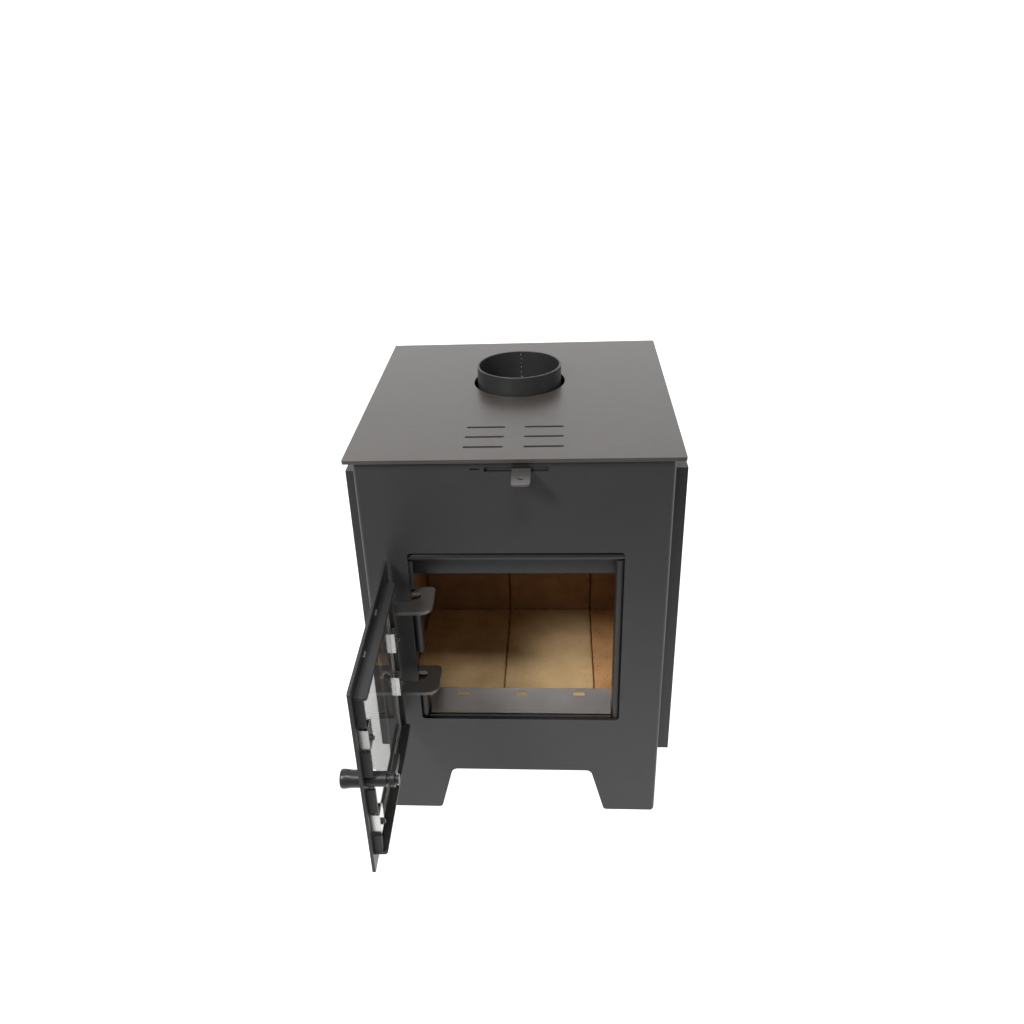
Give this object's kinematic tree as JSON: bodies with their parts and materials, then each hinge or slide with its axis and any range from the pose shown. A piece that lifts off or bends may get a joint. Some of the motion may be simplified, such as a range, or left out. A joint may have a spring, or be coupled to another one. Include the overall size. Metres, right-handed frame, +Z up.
{
  "type": "wood burning stove",
  "caption": "Small square steel wood stove on plate legs, with a glazed side-hung door, fire-brick lining, air slide, side heat shields and top flue collar.",
  "frame": {"origin": "on the floor, at the middle of the stove's whole outline with the door standing open", "axes": "+X to the right seen from the front, +Y from the door to the back, +Z up"},
  "size_m": [0.458, 0.7555, 0.627],
  "materials": {
    "body_paint": "matt heat-resistant black paint on sheet steel",
    "inner_paint": "semi-matt black paint on welded bar and bent sheet",
    "top_plate_paint": "dark grey-brown metallic heat paint, satin",
    "bare_steel": "dull oiled steel",
    "bright_steel": "bright bent spring steel",
    "pin_steel": "plain round steel",
    "dark_screws": "black oxide",
    "handle_steel": "smooth blackened turned steel",
    "glass": "clear ceramic glass",
    "gasket": "flat woven glass-fibre tape",
    "fire_brick": "cream to orange fire brick, matt",
    "baffle": "pressed vermiculite board, matt"
  },
  "bodies": {
    "stove": {"front_plate": "body_paint", "rear_plate": "body_paint", "firebox_wall_left": "body_paint", "firebox_wall_right": "body_paint", "firebox_floor": "body_paint", "firebox_back": "body_paint", "firebox_top": "body_paint", "flue_collar": "body_paint", "top_plate": "top_plate_paint", "top_plate_tabs": "body_paint", "side_panel_left": "body_paint", "side_panel_right": "body_paint", "panel_spacers": "body_paint", "panel_screws": "dark_screws", "seat_top": "inner_paint", "seat_right": "inner_paint", "seat_left": "inner_paint", "seat_bottom": "inner_paint", "air_duct": "inner_paint", "fire_lip": "inner_paint", "floor_brick_left": "fire_brick", "floor_brick_middle": "fire_brick", "floor_brick_right": "fire_brick", "back_brick_left": "fire_brick", "back_brick_middle": "fire_brick", "back_brick_right": "fire_brick", "left_brick_front": "fire_brick", "left_brick_rear": "fire_brick", "right_brick_front": "fire_brick", "right_brick_rear": "fire_brick", "baffle_board": "baffle", "slide_guides": "body_paint", "hinge_lugs": "inner_paint", "hinge_pins": "pin_steel", "latch_keeper": "inner_paint"},
    "door": {"door_plate": "body_paint", "door_ring": "inner_paint", "door_glass": "glass", "glass_gasket": "gasket", "glass_clips": "bright_steel", "clip_screws": "dark_screws", "hinge_arm_upper": "inner_paint", "hinge_arm_lower": "inner_paint", "handle_boss": "handle_steel"},
    "latch": {"knob": "handle_steel", "spindle": "handle_steel", "latch_arm": "handle_steel", "latch_pin": "pin_steel"},
    "air_control": {"air_slide": "bare_steel"}
  },
  "joints": [
    {"name": "door_hinge", "type": "hinge", "parent": "stove", "child": "door", "pos_m": [-0.1625, -0.0743, 0.32], "axis": [0, 0, 1], "range_deg": [-6, 89]},
    {"name": "latch_turn", "type": "hinge", "parent": "door", "child": "latch", "pos_m": [-0.14972, -0.35962, 0.32], "axis": [-0.9998, -0.0175, 0], "range_deg": [0, 180]},
    {"name": "air_slide_travel", "type": "slide", "parent": "stove", "child": "air_control", "axis": [1, 0, 0], "range_m": [-0.0335, 0.0215]}
  ]
}
